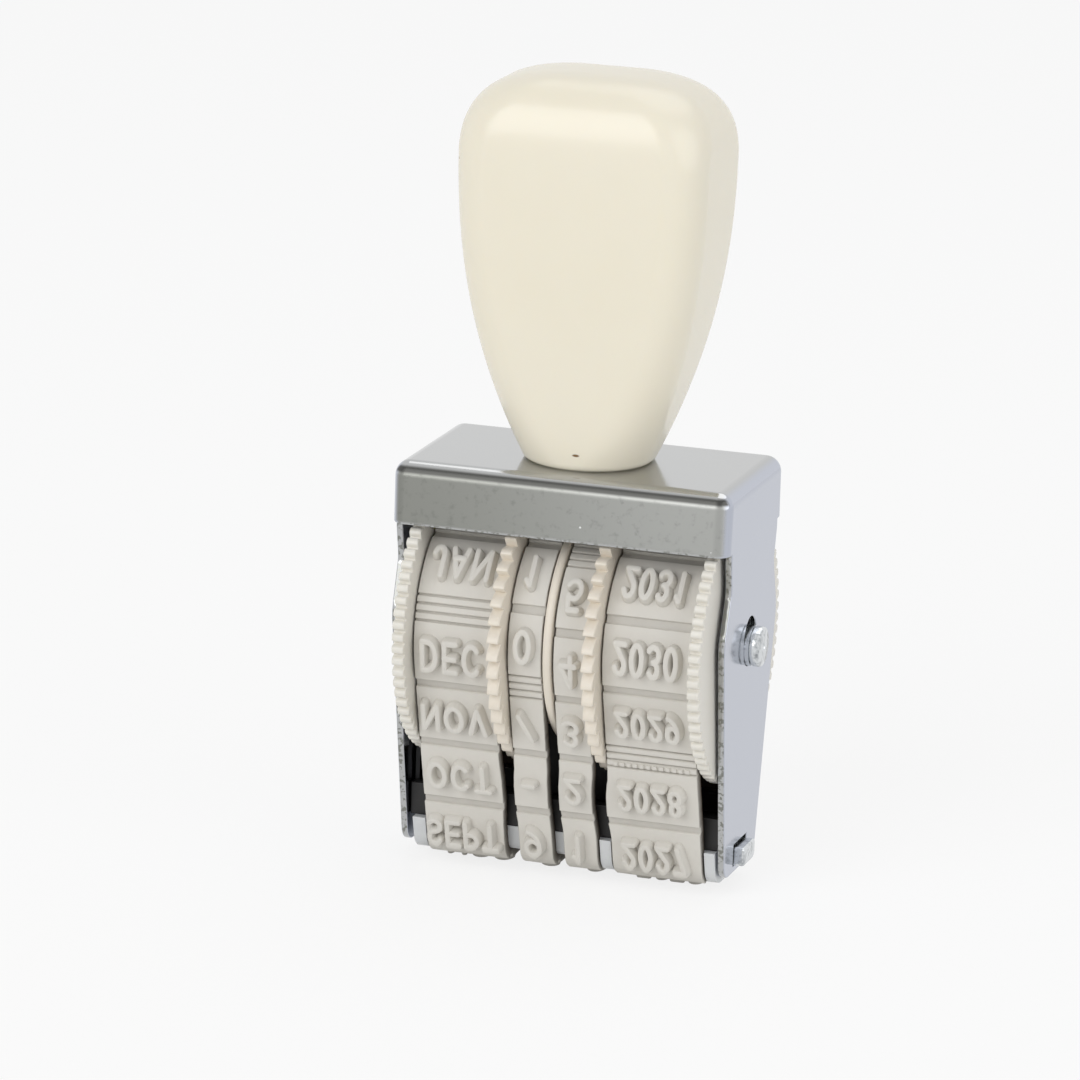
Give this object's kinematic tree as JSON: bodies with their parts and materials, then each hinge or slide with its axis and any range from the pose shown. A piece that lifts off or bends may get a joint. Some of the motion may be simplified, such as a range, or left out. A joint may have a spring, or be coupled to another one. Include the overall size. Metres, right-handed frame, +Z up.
{
  "type": "date and time stamp machine",
  "caption": "Hand date stamp with a moulded knob, pressed metal frame, toothed thumb wheels and endless rubber bands of month, day and year type running round a platen.",
  "frame": {"origin": "middle of the printing line, on the faces of the type that touch the paper", "axes": "+Z up through the knob, X along the wheels' axle with the months at -X and the years at +X, the readable side faces -Y"},
  "size_m": [0.0422, 0.0316, 0.0921],
  "materials": {
    "frame_chrome": "bright chrome plating",
    "steel": "plain turned and cropped steel",
    "outer_wheel_plastic": "off-white moulded plastic, soft gloss",
    "ivory_plastic": "ivory moulded plastic, soft gloss",
    "type_rubber": "light grey matte rubber",
    "platen_plastic": "white moulded plastic",
    "bridge_plastic": "black moulded plastic",
    "knob_plastic": "cream moulded plastic, glossy",
    "insert_brass": "knurled brass"
  },
  "bodies": {
    "stamp_body": {"frame": "frame_chrome", "axle": "steel", "axle_spacer": "ivory_plastic", "platen_bar": "steel", "platen": "platen_plastic", "bridge": "bridge_plastic", "handle": "knob_plastic", "handle_insert": "insert_brass", "handle_screw": "steel", "washer": "steel", "month_band": "type_rubber", "tens_band": "type_rubber", "units_band": "type_rubber", "year_band": "type_rubber"},
    "month_thumb_wheel": {"month_wheel": "outer_wheel_plastic"},
    "tens_thumb_wheel": {"tens_wheel": "ivory_plastic"},
    "divider": {"divider_disc": "ivory_plastic"},
    "units_thumb_wheel": {"units_wheel": "ivory_plastic"},
    "year_thumb_wheel": {"year_wheel": "outer_wheel_plastic"}
  },
  "joints": [
    {"name": "month_turn", "type": "hinge", "parent": "stamp_body", "child": "month_thumb_wheel", "pos_m": [-0.01207, 0, 0.0283], "axis": [1, 0, 0], "continuous": true, "deforming": ["month_band"]},
    {"name": "tens_turn", "type": "hinge", "parent": "stamp_body", "child": "tens_thumb_wheel", "pos_m": [-0.00367, 0, 0.0283], "axis": [1, 0, 0], "continuous": true, "deforming": ["tens_band"]},
    {"name": "divider_turn", "type": "hinge", "parent": "stamp_body", "child": "divider", "pos_m": [-0.00022, 0, 0.0283], "axis": [1, 0, 0], "continuous": true},
    {"name": "units_turn", "type": "hinge", "parent": "stamp_body", "child": "units_thumb_wheel", "pos_m": [0.00323, 0, 0.0283], "axis": [1, 0, 0], "continuous": true, "deforming": ["units_band"]},
    {"name": "year_turn", "type": "hinge", "parent": "stamp_body", "child": "year_thumb_wheel", "pos_m": [0.01223, 0, 0.0283], "axis": [1, 0, 0], "continuous": true, "deforming": ["year_band"]}
  ]
}
